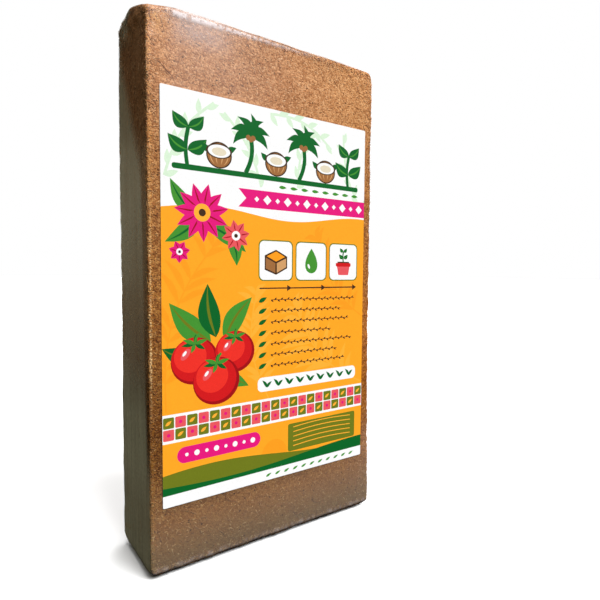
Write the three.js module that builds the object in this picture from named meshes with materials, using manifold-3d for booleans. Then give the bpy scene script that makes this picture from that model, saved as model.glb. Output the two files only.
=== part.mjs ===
import * as THREE from 'three';
import Module from 'manifold-3d';
import { mergeVertices } from 'three/addons/utils/BufferGeometryUtils.js';
import { ImprovedNoise } from 'three/addons/math/ImprovedNoise.js';

// A pressed block of coconut coir in clear shrink film, with a printed label on its front.
// It stands on one of its small ends, as in a shop. Millimetres, +Z up, front towards -Y.

// Driving dimensions, measured outside the film.
const WIDTH = 155;
const DEPTH = 50;
const HEIGHT = 300;            // at the front edge of the top end
const CORNER_RADIUS = 5.5;     // the four corners, seen from the front
const EDGE_RADIUS = 2.2;       // the long edges round the front and the back

// The ends bulge where the pressed coir springs back. The lower one is trodden flat in its middle.
const TOP_CROWN = 6.5;
const CROWN_PEAK = 5;          // how far behind the middle of the thickness the crown is highest
const CROWN_REACH = 30;        // from the peak to where the crown has fallen away
const BASE_RISE = 2.2;         // how far the lower edges stand off the ground
const BASE_FLAT = 13;          // half the width of the flat strip that the bale stands on

// The film, its gap to the coir, its seam and its vent.
const FILM = 0.4;
const GAP = 0.3;
const SEAM_HEIGHT = 1.2;
const SEAM_HALF = 1.6;
const SEAM_FADE = 9;           // length over which the seam dies out at its two ends
const EAR_HEIGHT = 1.9;        // gathered film at both ends of the top seam
const EAR_RADIUS = 8;
const EAR_PLACES = [-62, 70];
const VENT_RADIUS = 2;
const VENT_PLACE = { x: 38, z: 205 };
const VENT_SIDES = 16;

// The label, placed on the film's flat front.
const LABEL = { left: -70.4, right: 70.6, bottom: 38.4, top: 260.3, thickness: 0.4, corner: 0.8 };

// Dents in the coir's faces and the deeper crumbling along its edges.
const FACE_DENT = 0.5;
const EDGE_CHIP = 1.7;
const EDGE_ZONE = 9;
const DENT_SIZE = 21;
const CHIP_SIZE = 6.5;

const wasm = await Module();
wasm.setup();
const perlin = new ImprovedNoise();

const clamp = THREE.MathUtils.clamp;
const smoothstep = THREE.MathUtils.smoothstep;

// Grid stations from low to high: set distances in from both ends, and even steps between them.
function stations(low, high, insets, steps) {
  const margin = insets.at(-1);
  const room = high - low - 2 * margin;
  const inner = [];
  for (let i = 1; i < steps; i++) inner.push(low + margin + (room * i) / steps);
  const ends = insets.map((inset) => low + inset);
  return [...ends, ...inner, ...insets.map((inset) => high - inset).reverse()];
}

// Squeezes the square corner (a, b), both from 0 to 1, into a quarter circle of the same reach.
function roundCorner(a, b) {
  const length = Math.hypot(a, b);
  return length > 0 ? Math.max(a, b) / length : 1;
}

// How far the ends stand out from a flat box at a depth y.
function crown(y) {
  const fall = (y - CROWN_PEAK) / CROWN_REACH;
  return TOP_CROWN * (1 - fall * fall);
}

function baseRise(y) {
  const past = clamp((Math.abs(y) - BASE_FLAT) / (DEPTH / 2 - BASE_FLAT), 0, 1);
  return BASE_RISE * past * past;
}

// Moves a point of a plain box onto the bale's form: corners, then long edges, then crowned ends.
// The relief stands out from the rim of the front view, which is the ends and the narrow sides.
function shapePoint(point, inset, relief) {
  const side = WIDTH / 2 - CORNER_RADIUS;
  const core = new THREE.Vector2(
    clamp(point.x, -side, side), clamp(point.z, CORNER_RADIUS, HEIGHT - CORNER_RADIUS));
  const out = new THREE.Vector2(point.x, point.z).sub(core);
  out.multiplyScalar(roundCorner(Math.abs(out.x), Math.abs(out.y)));
  const facing = out.clone().normalize();
  const rim = CORNER_RADIUS - inset - out.length();

  const edge = EDGE_RADIUS - inset;
  const depth = DEPTH / 2 - inset - Math.abs(point.y);
  const a = clamp((edge - rim) / edge, 0, 1);
  const b = clamp((edge - depth) / edge, 0, 1);
  if (out.length() > 0 && a > 0 && b > 0) {
    const pull = 1 - roundCorner(a, b);
    out.addScaledVector(facing, -a * pull * edge);
    point.y -= Math.sign(point.y) * b * pull * edge;
  }
  const place = core.add(out).addScaledVector(facing, relief(point, facing));
  const share = place.y / HEIGHT;
  const lift = crown(point.y) * share + baseRise(point.y) * (1 - share);
  point.set(place.x, point.y, place.y + lift);
}

// The same mesh with nothing but positions, so that its shared corners join.
function bareCopy(geometry) {
  geometry.deleteAttribute('normal');
  geometry.deleteAttribute('uv');
  return mergeVertices(geometry);
}

// A closed mesh of the bale's form, drawn in by a distance, over a grid of the given steps.
function baleGeometry(inset, steps, depths, relief = () => 0) {
  const rims = [0, 0.5 * EDGE_RADIUS, EDGE_RADIUS, CORNER_RADIUS, 2 * CORNER_RADIUS];
  const half = DEPTH / 2 - inset;
  const grid = {
    x: stations(inset - WIDTH / 2, WIDTH / 2 - inset, rims, steps.x),
    y: [...depths, -half, -half + rims[1], -half + rims[2], half - rims[2], half - rims[1], half],
    z: stations(inset, HEIGHT - inset, rims, steps.z),
  };
  grid.y.sort((first, second) => first - second);
  const counts = Object.values(grid).map((list) => list.length - 1);
  const geometry = bareCopy(new THREE.BoxGeometry(2, 2, 2, ...counts));
  const position = geometry.attributes.position;
  const point = new THREE.Vector3();
  const pick = (list, value) => list[Math.round(((value + 1) / 2) * (list.length - 1))];
  for (let i = 0; i < position.count; i++) {
    point.fromBufferAttribute(position, i);
    point.set(pick(grid.x, point.x), pick(grid.y, point.y), pick(grid.z, point.z));
    shapePoint(point, inset, relief);
    position.setXYZ(i, point.x, point.y, point.z);
  }
  return geometry;
}

// The raised seam runs over the top end and down the right side, and dies out at both its ends.
function seamRelief(point, facing) {
  const ridge = clamp(1 - Math.abs(point.y) / SEAM_HALF, 0, 1);
  const left = smoothstep(point.x, -WIDTH / 2, SEAM_FADE - WIDTH / 2);
  const low = smoothstep(point.z, 0, SEAM_FADE);
  const onSeam = facing.x > -0.1 && facing.y > -0.5 ? left * low : 0;
  const ears = EAR_PLACES.map((x) => ear(Math.hypot(point.x - x, point.y), facing));
  return Math.max(SEAM_HEIGHT * ridge * onSeam, ...ears);
}

// Film gathered in a low dome on the top end.
function ear(distance, facing) {
  const dome = 1 - (distance / EAR_RADIUS) ** 2;
  return facing.y > 0.5 ? EAR_HEIGHT * clamp(dome, 0, 1) : 0;
}

function noise(point, size) {
  return perlin.noise(point.x / size, point.y / size, point.z / size);
}

// Wears a smooth coir block: shallow dents in its faces, deeper chips along its edges.
function crumble(geometry, inset) {
  const position = geometry.attributes.position;
  const point = new THREE.Vector3();
  const core = inset + EDGE_ZONE;
  const low = new THREE.Vector3(-WIDTH / 2, -DEPTH / 2, 0).addScalar(core);
  const high = new THREE.Vector3(WIDTH / 2, DEPTH / 2, HEIGHT).subScalar(core);
  for (let i = 0; i < position.count; i++) {
    point.fromBufferAttribute(position, i);
    low.z = baseRise(point.y) + core;
    high.z = HEIGHT + crown(point.y) - core;
    const inward = point.clone().clamp(low, high).sub(point);
    const edge = clamp(inward.length() / EDGE_ZONE - 1, 0, 0.4) / 0.4;
    const chip = EDGE_CHIP * edge * clamp(0.35 + 0.9 * noise(point, CHIP_SIZE), 0, 1);
    const dent = FACE_DENT * clamp(0.5 + noise(point, DENT_SIZE), 0, 1);
    point.addScaledVector(inward.normalize(), chip + dent);
    position.setXYZ(i, point.x, point.y, point.z);
  }
  return geometry;
}

function toManifold(geometry) {
  return new wasm.Manifold(new wasm.Mesh({
    numProp: 3,
    vertProperties: new Float32Array(geometry.attributes.position.array),
    triVerts: new Uint32Array(geometry.index.array),
  }));
}

function fromManifold(solid) {
  const { vertProperties, triVerts } = solid.getMesh();
  const geometry = new THREE.BufferGeometry();
  geometry.setAttribute('position', new THREE.BufferAttribute(vertProperties, 3));
  geometry.setIndex(new THREE.BufferAttribute(triVerts, 1));
  return geometry;
}

// Depths of the grid lines between the rounded edges, from front to back.
const seamDepths = [-18, -BASE_FLAT, -8, -4, -SEAM_HALF, 0, SEAM_HALF, 4, 8, BASE_FLAT, 18];
const coirDepths = [-17, -BASE_FLAT, -8, -3, 3, 8, BASE_FLAT, 17];

// The pressed coir block.
function coirBlock() {
  const inset = FILM + GAP;
  const geometry = crumble(baleGeometry(inset, { x: 9, z: 20 }, coirDepths), inset);
  geometry.computeVertexNormals();
  return geometry;
}

// The film: a thin closed skin round the block, with a vent punched through its back.
function shrinkFilm() {
  const outer = toManifold(baleGeometry(0, { x: 6, z: 12 }, seamDepths, seamRelief));
  const inner = toManifold(baleGeometry(FILM, { x: 3, z: 6 }, coirDepths));
  const punch = new THREE.CylinderGeometry(VENT_RADIUS, VENT_RADIUS, 4 * FILM, VENT_SIDES);
  punch.rotateX(Math.PI / 2).translate(VENT_PLACE.x, DEPTH / 2, VENT_PLACE.z);
  const vent = toManifold(bareCopy(punch));
  const geometry = fromManifold(outer.subtract(inner).subtract(vent));
  geometry.computeVertexNormals();
  return geometry;
}

// The label: a flat slab with slightly rounded corners.
function labelSheet() {
  const { left, right, bottom, top, corner, thickness } = LABEL;
  const outlineShape = new THREE.Shape();
  outlineShape.absarc(right - corner, top - corner, corner, 0, Math.PI / 2);
  outlineShape.absarc(left + corner, top - corner, corner, Math.PI / 2, Math.PI);
  outlineShape.absarc(left + corner, bottom + corner, corner, Math.PI, 1.5 * Math.PI);
  outlineShape.absarc(right - corner, bottom + corner, corner, 1.5 * Math.PI, 2 * Math.PI);
  const settings = { depth: thickness, bevelEnabled: false, curveSegments: 3 };
  return new THREE.ExtrudeGeometry(outlineShape, settings).rotateX(Math.PI / 2);
}

function piece(name, geometry, material) {
  const mesh = new THREE.Mesh(geometry, new THREE.MeshStandardMaterial(material));
  mesh.name = name;
  return mesh;
}

const block = piece('coir_block', coirBlock(), { color: 0x8a5a30, roughness: 0.95 });
const film = piece('shrink_film', shrinkFilm(),
  { color: 0xe8e6e2, roughness: 0.15, transparent: true, opacity: 0.25 });
const label = piece('label', labelSheet(), { color: 0xffac2a, roughness: 0.6 });
label.position.y = -DEPTH / 2 - GAP;

// The origin is under the middle of the whole bale, seam and label counted.
const bale = new THREE.Group();
bale.add(block, film, label);
bale.position.set(-SEAM_HEIGHT / 2, (GAP + LABEL.thickness) / 2, 0);

export default bale;
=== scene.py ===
import math
import bpy
import numpy as np
from mathutils import Matrix, Vector
from mathutils.geometry import delaunay_2d_cdt


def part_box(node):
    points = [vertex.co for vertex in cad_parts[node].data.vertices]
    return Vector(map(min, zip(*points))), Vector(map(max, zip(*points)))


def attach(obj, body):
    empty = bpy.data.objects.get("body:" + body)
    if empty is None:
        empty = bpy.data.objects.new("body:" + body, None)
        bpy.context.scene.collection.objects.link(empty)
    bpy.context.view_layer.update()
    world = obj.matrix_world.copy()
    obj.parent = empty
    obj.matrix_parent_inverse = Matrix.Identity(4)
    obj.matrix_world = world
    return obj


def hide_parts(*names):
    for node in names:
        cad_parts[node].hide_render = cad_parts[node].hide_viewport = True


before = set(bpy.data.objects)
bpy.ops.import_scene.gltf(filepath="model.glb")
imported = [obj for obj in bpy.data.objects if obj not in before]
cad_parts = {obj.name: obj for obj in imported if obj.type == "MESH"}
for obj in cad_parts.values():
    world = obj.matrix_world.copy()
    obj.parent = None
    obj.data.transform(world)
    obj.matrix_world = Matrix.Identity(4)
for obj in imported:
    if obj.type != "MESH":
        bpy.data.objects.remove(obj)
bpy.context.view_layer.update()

# The bale's driving dimensions in millimetres, as in its solids. Two corners and the long edges are
# tighter than there. The bale's own coordinates have their zero under the middle of the film's
# faces, and +Z up. PLACE is where that zero lies in the frame, in millimetres too.
MM = 0.001
WIDTH, DEPTH, HEIGHT = 155.0, 50.0, 300.0
CORNER_RADIUS, UPPER_LEFT_RADIUS, LOWER_RIGHT_RADIUS = 5.5, 2.6, 3.4
EDGE_RADIUS = 1.4
TOP_CROWN, CROWN_PEAK, CROWN_REACH = 6.5, 5.0, 30.0
BASE_RISE, BASE_FLAT = 2.2, 13.0

# The foot spreads on the right, from SPREAD_FROM outwards, fully up to one height and not at all
# above the other. The upper left corner is worn down over WEAR_HEIGHT, from WEAR_FROM outwards, not
# at all behind one depth and fully in front of the other.
LOWER_RIGHT_SPREAD, SPREAD_FROM, SPREAD_HEIGHTS = 1.7, 30.0, (40.0, 95.0)
UPPER_LEFT_WEAR, WEAR_FROM, WEAR_DEPTHS, WEAR_HEIGHT = 2.0, 61.0, (9.0, -14.0), 12.0

# How far the coir's smooth form lies inside the film's faces, and how far in from its edges it
# wears. Then how high the film lies over the coir, and its share in the coir's broad wear.
COIR_INSET, EDGE_ZONE = 0.35, 9.0
FILM_LIFT, FILM_FOLLOW = 0.27, 0.85
MIDDLE = np.array([0, 0, HEIGHT / 2])
COIR_HALF = np.array([WIDTH / 2, DEPTH / 2, HEIGHT / 2]) - COIR_INSET

film_low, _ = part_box("shrink_film")
label_low, label_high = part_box("label")
PLACE = np.array([film_low.x / MM + WIDTH / 2, film_low.y / MM + DEPTH / 2, 0.0])
LABEL_SPAN = [np.array([corner.x, corner.z]) / MM - PLACE[[0, 2]] for corner in
              (label_low, label_high)]


def in_frame(points):
    """Millimetres in the bale's own coordinates to metres in the frame."""
    return (np.asarray(points) + PLACE) * MM


# Noise

def hashed(cells, seed):
    """A number from 0 to 1 for each whole-numbered place."""
    cells = cells.astype(np.int64).astype(np.uint32)
    mixed = cells[..., 0] * np.uint32(374761393) + cells[..., 1] * np.uint32(668265263)
    mixed = mixed + cells[..., 2] * np.uint32(2246822519) + np.uint32(seed * 97 + 13)
    for shift, factor in ((15, 2246822519), (13, 3266489917)):
        mixed = (mixed ^ (mixed >> np.uint32(shift))) * np.uint32(factor)
    return (mixed ^ (mixed >> np.uint32(16))) / 2.0 ** 32


def noise(points, size, seed=0):
    """Smooth noise from -1 to 1 with lumps of about the given size."""
    scaled = points / size
    cell = np.floor(scaled)
    part = scaled - cell
    blend = part * part * (3 - 2 * part)
    total = np.zeros(len(points))
    for corner in np.ndindex(2, 2, 2):
        weight = np.prod(np.where(corner, blend, 1 - blend), axis=1)
        total += weight * hashed(cell + corner, seed)
    return 2 * total - 1


def smoothstep(value, low, high):
    part = np.clip((value - low) / (high - low), 0, 1)
    return part * part * (3 - 2 * part)


def unit(vectors):
    return vectors / np.maximum(np.linalg.norm(vectors, axis=-1, keepdims=True), 1e-9)


# The bale's form

def squeeze(a, b):
    """Draws the square corner (a, b) into a quarter circle of the same reach."""
    length = np.hypot(a, b)
    return np.where(length > 0, np.maximum(a, b) / np.maximum(length, 1e-9), 1)


def crown(y):
    """How far the top end stands out from a flat box."""
    return TOP_CROWN * (1 - ((y - CROWN_PEAK) / CROWN_REACH) ** 2)


def settled(x, y, z):
    """Spreads the lower right, bulges both ends and wears the upper left corner down."""
    low, high = SPREAD_HEIGHTS
    x = x + LOWER_RIGHT_SPREAD * smoothstep(x, SPREAD_FROM, WIDTH / 2) * smoothstep(z, high, low)
    share = z / HEIGHT
    past = np.clip((abs(y) - BASE_FLAT) / (DEPTH / 2 - BASE_FLAT), 0, 1)
    z = z + crown(y) * share + BASE_RISE * past ** 2 * (1 - share)
    worn = smoothstep(-x, WEAR_FROM, WIDTH / 2) * smoothstep(y, *WEAR_DEPTHS)
    return x, z - UPPER_LEFT_WEAR * worn * smoothstep(z, HEIGHT - WEAR_HEIGHT, HEIGHT)


def formed(points, inset):
    """Moves points of a plain box onto the bale's form. Also gives which way the rim faces there."""
    x, y, z = points.T
    upper = z > HEIGHT / 2
    corner = np.where(x < 0, np.where(upper, UPPER_LEFT_RADIUS, CORNER_RADIUS),
                      np.where(upper, CORNER_RADIUS, LOWER_RIGHT_RADIUS))
    core_x = np.clip(x, corner - WIDTH / 2, WIDTH / 2 - corner)
    core_z = np.clip(z, corner, HEIGHT - corner)
    out_x, out_z = x - core_x, z - core_z
    tight = squeeze(abs(out_x), abs(out_z))
    out_x, out_z = out_x * tight, out_z * tight
    length = np.hypot(out_x, out_z)
    facing_x, facing_z = (part / np.maximum(length, 1e-9) for part in (out_x, out_z))

    edge = EDGE_RADIUS - inset
    from_rim = corner - inset - length
    from_face = DEPTH / 2 - inset - abs(y)
    a, b = (np.clip((edge - part) / edge, 0, 1) for part in (from_rim, from_face))
    pull = np.where((a > 0) & (b > 0), 1 - squeeze(a, b), 0) * edge
    y = y - np.sign(y) * b * pull
    x, z = settled(core_x + out_x - facing_x * a * pull, y, core_z + out_z - facing_z * a * pull)
    return np.stack([x, y, z], axis=1), np.stack([facing_x, 0 * y, facing_z], axis=1)


def inward(points, inset):
    """The way into the bale at each point, and how near an edge the point is, from 0 to 1."""
    core = inset + EDGE_ZONE
    tall = crown(points[:, 1])[:, None] * [0, 0, 1]
    low, high = np.array([[-WIDTH / 2, -DEPTH / 2, 0], [WIDTH / 2, DEPTH / 2, HEIGHT]])
    way = np.clip(points, low + core, high + tall - core) - points
    length = np.linalg.norm(way, axis=1)
    edge = np.clip(length / EDGE_ZONE - 1, 0, 0.4) / 0.4
    return way / np.maximum(length, 1e-9)[:, None], edge


def box_grid(lines):
    """A closed box of quads, with its grid lines at the given places along X, Y and Z."""
    sizes = [len(line) for line in lines]
    quads = []
    for axis in range(3):
        first, second = (axis + 1) % 3, (axis + 2) % 3
        a, b = np.meshgrid(np.arange(sizes[first] - 1), np.arange(sizes[second] - 1))
        for end in (0, sizes[axis] - 1):
            turn = [(0, 0), (1, 0), (1, 1), (0, 1)] if end else [(0, 0), (0, 1), (1, 1), (1, 0)]
            cells = np.empty((a.size, 4, 3), np.int64)
            cells[:, :, axis] = end
            for corner, (over, up) in enumerate(turn):
                cells[:, corner, first] = a.ravel() + over
                cells[:, corner, second] = b.ravel() + up
            quads.append(cells)
    cells = np.concatenate(quads).reshape(-1, 3)
    keys = (cells[:, 0] * sizes[1] + cells[:, 1]) * sizes[2] + cells[:, 2]
    _, seen, index = np.unique(keys, return_index=True, return_inverse=True)
    points = np.stack([np.asarray(line)[cells[seen, i]] for i, line in enumerate(lines)], axis=1)
    return points, index.reshape(-1, 4)


def box_lines(inset, spacing):
    """Grid lines for the bale's plain box, drawn in by the inset: even, and closer by its edges."""
    lines = []
    for low, high in ((-WIDTH / 2, WIDTH / 2), (-DEPTH / 2, DEPTH / 2), (0, HEIGHT)):
        count = round((high - low - 2 * inset) / spacing) + 1
        even = np.linspace(low + inset, high - inset, count)
        rim = (EDGE_RADIUS - inset) * np.array([0.33, 0.67, 1.0])
        lines.append(np.sort(np.concatenate([even, even[0] + rim, even[-1] - rim])))
    return lines


# Making pieces

def make_piece(name, points, faces, materials, node=None, inks=None, smooth=True):
    """A mesh piece from arrays of points in the frame and of faces with equal corner counts."""
    faces = np.asarray(faces)
    mesh = bpy.data.meshes.new(name)
    mesh.vertices.add(len(points))
    mesh.vertices.foreach_set("co", np.asarray(points, np.float32).ravel())
    mesh.loops.add(faces.size)
    mesh.loops.foreach_set("vertex_index", faces.astype(np.int32).ravel())
    mesh.polygons.add(len(faces))
    mesh.polygons.foreach_set("loop_start", np.arange(0, faces.size, faces.shape[1], dtype=np.int32))
    for material in materials:
        mesh.materials.append(material)
    if inks is not None:
        mesh.polygons.foreach_set("material_index", np.asarray(inks, np.int32))
    mesh.update(calc_edges=True)
    mesh.polygons.foreach_set("use_smooth", np.full(len(faces), smooth))
    piece = bpy.data.objects.new(name, mesh)
    bpy.context.scene.collection.objects.link(piece)
    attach(piece, "root")
    if node:
        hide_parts(node)
    return piece


# Shader nodes

class Wire:
    """A socket whose sums, products and the like add Math nodes."""

    def __init__(self, shade, socket):
        self.shade, self.socket = shade, socket

    def of(self, output):
        return Wire(self.shade, self.socket.node.outputs[output])

    def math(self, operation, *values):
        return self.shade.node("ShaderNodeMath", {"operation": operation}, dict(enumerate(values)))

    def __add__(self, other):
        return self.math("ADD", self, other)

    def __sub__(self, other):
        return self.math("SUBTRACT", self, other)

    def __rsub__(self, other):
        return self.math("SUBTRACT", other, self)

    def __mul__(self, other):
        return self.math("MULTIPLY", self, other)

    def __truediv__(self, other):
        return self.math("DIVIDE", self, other)

    def __pow__(self, other):
        return self.math("POWER", self, other)

    def __abs__(self):
        return self.math("ABSOLUTE", self)

    __radd__, __rmul__ = __add__, __mul__

    def step(self, low, high):
        """0 below low, 1 above high and smooth between. High may be the lower number."""
        settings = {"interpolation_type": "SMOOTHSTEP"}
        inputs = {"Value": self, "From Min": low, "From Max": high}
        return self.shade.node("ShaderNodeMapRange", settings, inputs)

    def most(self, other):
        return self.math("MAXIMUM", self, other)

    def least(self, other):
        return self.math("MINIMUM", self, other)


class Shade:
    """A material and the making of its nodes."""

    def __init__(self, name):
        self.material = bpy.data.materials.new(name)
        self.material.use_nodes = True
        self.tree = self.material.node_tree
        self.tree.nodes.clear()

    def node(self, kind, settings=None, inputs=None):
        """Adds a node: its settings first, then the values or wires of its sockets."""
        made = self.tree.nodes.new(kind)
        for key, value in (settings or {}).items():
            if key == "stops":
                ramp = made.color_ramp.elements
                while len(ramp) < len(value):
                    ramp.new(0.5)
                for element, (place, colour) in zip(ramp, value):
                    element.position = place
                    element.color = (*colour, 1)
            else:
                setattr(made, key, value)
        sockets = {socket.identifier: socket for socket in made.inputs}
        sockets.update({socket.name: socket for socket in made.inputs if socket.enabled})
        for key, value in (inputs or {}).items():
            socket = made.inputs[key] if isinstance(key, int) else sockets[key]
            if isinstance(value, Wire):
                self.tree.links.new(value.socket, socket)
            else:
                socket.default_value = (*value, 1) if socket.type == "RGBA" else value
        shown = [socket for socket in made.outputs if socket.enabled]
        return Wire(self, shown[0]) if shown else None

    def place(self):
        """The place on the piece in millimetres in the frame's directions."""
        here = self.node("ShaderNodeTexCoord").of("Object")
        return self.node("ShaderNodeVectorMath", {"operation": "SCALE"}, {0: here, "Scale": 1 / MM})

    def parts(self, vector):
        """A vector's three numbers. Those of a place are across, depth and height."""
        split = self.node("ShaderNodeSeparateXYZ", {}, {"Vector": vector})
        return [split.of(axis) for axis in "XYZ"]

    def stretched(self, place, scale):
        settings = {"operation": "MULTIPLY"}
        return self.node("ShaderNodeVectorMath", settings, {0: place, 1: scale})

    def noise(self, place, size, detail=2.0, rough=0.5, twist=0.0):
        inputs = {"Vector": place, "Scale": 1 / size, "Detail": detail, "Roughness": rough}
        return self.node("ShaderNodeTexNoise", {}, {**inputs, "Distortion": twist})

    def moved(self, place, way, reach):
        """The place pushed along a noise's colour by up to the reach."""
        inputs = {0: way, 1: (reach, reach, reach), 2: place}
        return self.node("ShaderNodeVectorMath", {"operation": "MULTIPLY_ADD"}, inputs)

    def turned(self, place, degrees):
        inputs = {"Vector": place, "Angle": math.radians(degrees)}
        return self.node("ShaderNodeVectorRotate", {"rotation_type": "Y_AXIS"}, inputs)

    def cells(self, place, size):
        """Random cells: the distance to the nearest cell's middle, and its colour as another output."""
        return self.node("ShaderNodeTexVoronoi", {}, {"Vector": place, "Scale": 1 / size})

    def red(self, colour):
        return self.node("ShaderNodeSeparateColor", {}, {"Color": colour}).of("Red")

    def mix(self, amount, first, second, blend="MIX"):
        settings = {"data_type": "RGBA", "blend_type": blend}
        inputs = {"Factor_Float": amount, "A_Color": first, "B_Color": second}
        return self.node("ShaderNodeMix", settings, inputs)

    def ramp(self, amount, stops):
        return self.node("ShaderNodeValToRGB", {"stops": stops}, {"Fac": amount})

    def bump(self, height, strength, distance):
        inputs = {"Height": height, "Strength": strength, "Distance": distance * MM}
        return self.node("ShaderNodeBump", {}, inputs)

    def surface(self, look):
        """The material with a Principled surface of the given look."""
        return self.finish(self.node("ShaderNodeBsdfPrincipled", {}, look))

    def finish(self, shader):
        self.node("ShaderNodeOutputMaterial", {}, {"Surface": shader})
        return self.material


# Coir

COIR_DARK, COIR_MID, COIR_LIGHT = (0.190, 0.078, 0.024), (0.500, 0.235, 0.085), (0.900, 0.550, 0.265)
STRAND_GOLD, RIDGE_SHINE_GOLD, HIGHLIGHT_GOLD = (0.90, 0.62, 0.33), (0.95, 0.55, 0.18), (1.0, 0.72, 0.36)
PIT_BROWN = (0.05, 0.018, 0.006)
GRAIN_SIZE, STRAND_SIZE, FINE_SIZE, PIT_SIZE, PATCH_SIZE = 0.95, 0.5, 0.55, 3.4, 24

# Painted shade: the coir is darker towards the ground, less so on the right of the bale, near black in a
# painted contact shadow along its foot, and darker again on its top end: shares of the height, and the
# tints there.
CONTACT_SHADOW_TINTS = [(0.0125, (0.02, 0.014, 0.010)), (0.0150, (0.25, 0.26, 0.20)),
                (0.03, (0.25, 0.27, 0.205))]
LEFT_SHADE = CONTACT_SHADOW_TINTS + [
    (0.10, (0.405, 0.345, 0.205)), (0.26, (0.245, 0.150, 0.032)), (0.50, (0.54, 0.395, 0.180)),
    (0.73, (0.725, 0.60, 0.46)), (0.92, (0.90, 0.80, 0.82)), (0.995, (0.88, 0.79, 0.80)),
    (0.998, (0.50, 0.40, 0.36))]
RIGHT_SHADE = CONTACT_SHADOW_TINTS + [
    (0.15, (0.49, 0.35, 0.15)), (0.28, (0.48, 0.27, 0.05)), (0.40, (0.69, 0.42, 0.14)),
    (0.61, (0.63, 0.43, 0.18)), (0.82, (0.74, 0.60, 0.42)), (0.92, (0.98, 0.88, 0.80)),
    (0.995, (1.0, 0.92, 0.86)), (0.998, (0.66, 0.53, 0.46))]


def painted_shade(shade, place, colour, amount):
    """Paints shade into a colour: darker low down, near black at the foot, darker on the top end."""
    across, _, height = shade.parts(place)
    shaded_left, shaded_right = (shade.ramp(height / HEIGHT, tints) for tints in (LEFT_SHADE, RIGHT_SHADE))
    return shade.mix(amount, colour, shade.mix(across.step(5, 72), shaded_left, shaded_right), "MULTIPLY")


def crumbs_and_highlights(shade, place):
    """1 on crumbling ridges along the long front edges and over the upper corners, else 0.
    Their gold is partly the crumbs' own colour and partly a painted highlight.
    """
    across, depth, height = shade.parts(place)
    speck = shade.noise(place, 1.1, 2, 0.6).step(0.38, 0.58)
    ridge = across.step(-74.3, -76.6).most(across.step(75.0, 77.0)).most(height.step(297, 299.5))
    corner = across.step(-62, -74) * height.step(278, 294)
    return ridge.most(corner * 0.8) * depth.step(-19, -23.5) * (0.35 + speck * 0.65)


def painted_edge_highlight(shade, place):
    """A painted highlight: 1 in specks on the very edge of the left of the front, half way up, else 0."""
    across, depth, height = shade.parts(place)
    speck = shade.noise(place, 1.5, 2, 0.6).step(0.40, 0.54)
    lit = height.step(75, 125) * height.step(235, 150)
    return across.step(-75.5, -76.4) * depth.step(-22.8, -24.4) * lit * speck


def coir_material():
    """Matted pith: grains with dark gaps, strands across them, pits and broad patches."""
    shade = Shade("pressed_coir")
    place = shade.place()
    across, _, height = shade.parts(place)
    loose = shade.moved(place, shade.noise(place, 1.3, 2, 0.6).of("Color"), 0.8)
    grain, holes = shade.cells(loose, GRAIN_SIZE), shade.cells(loose, PIT_SIZE)
    strands = [shade.noise(shade.stretched(shade.turned(loose, turn), (1, 1, 0.16)), STRAND_SIZE, 1)
               for turn in (20, 85, 150)]
    strand = strands[0].most(strands[1]).most(strands[2])
    fine = shade.noise(place, FINE_SIZE, 2, 0.7)
    patch = shade.noise(place, PATCH_SIZE, 3, 0.6)
    pit = holes.step(0.17, 0.10) * shade.red(holes.of("Color")).step(0.45, 0.55)
    tone = shade.red(grain.of("Color")) * 0.30 + fine * 0.35 + strand * 0.50 + patch * 0.15
    calm = height.step(150, 280) * 0.28 + height.step(50, 20) * 0.7
    calm = calm.most(across.step(-76.6, -77.4) * 0.8)
    tone = 0.58 + (tone - 0.70) * (1 - calm)
    colour = shade.ramp(tone, [(0.32, COIR_DARK), (0.53, COIR_MID), (0.76, COIR_LIGHT)])
    colour = shade.mix(grain.step(0.65, 1.0) * 0.4, colour, COIR_DARK)
    colour = shade.mix(strand.step(0.66, 0.75) * 0.45, colour, STRAND_GOLD)
    colour = shade.mix(pit * 0.8, colour, PIT_BROWN)
    # Gold of crumbling ridges, partly a painted highlight.
    colour = shade.mix(crumbs_and_highlights(shade, place) * 0.65, colour, RIDGE_SHINE_GOLD)
    # Painted shade: darker towards the ground, near black at the foot, darker on the top end.
    colour = painted_shade(shade, place, colour, 1.0)
    # Painted highlight on the left front edge, laid over the painted shade.
    colour = shade.mix(painted_edge_highlight(shade, place), colour, HIGHLIGHT_GOLD)
    bump = shade.bump((strand * 0.8 + fine * 0.4 - grain * 0.6 - pit) * (1 - calm * 0.6), 0.8, 0.5)
    return shade.surface({"Base Color": colour, "Roughness": 0.95, "Specular IOR Level": 0.05,
                          "Normal": bump})


HUSK_TONES = {
    "husk_gold": ((0.62, 0.32, 0.12), (0.96, 0.66, 0.37)),
    "husk_rust": ((0.42, 0.155, 0.045), (0.68, 0.31, 0.10)),
    "husk_dark": ((0.10, 0.034, 0.010), (0.27, 0.095, 0.028)),
}


def husk_material(name):
    shade = Shade(name)
    place = shade.place()
    colour = shade.mix(shade.noise(place, 1.6, 2, 0.6).step(0.3, 0.7), *HUSK_TONES[name])
    # Painted shade, as on the coir.
    colour = painted_shade(shade, place, colour, 0.9)
    return shade.surface({"Base Color": colour, "Roughness": 0.7, "Specular IOR Level": 0.15})


# Depths and sizes of the worn edges' chips, the shallow dents, and the swollen upper left corner.
CHIP_DEPTH, CHIP_SIZE, DENT_DEPTH, DENT_SIZE, SWELL, SWELL_SIZE = 0.45, 8.5, 0.26, 21, 1.5, 5.5
LUMP_SIZE, CRUMB_SIZE = 3.4, 1.6


def free_of_label(points):
    """0 under the label, where the coir is pressed flat, and 1 from some millimetres beyond it."""
    low, high = LABEL_SPAN
    beyond = np.maximum(low - points[:, [0, 2]], points[:, [0, 2]] - high).max(axis=1)
    return np.maximum(smoothstep(beyond, 0.8, 3.5), smoothstep(points[:, 1], 3 - DEPTH / 2, 0))


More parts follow.
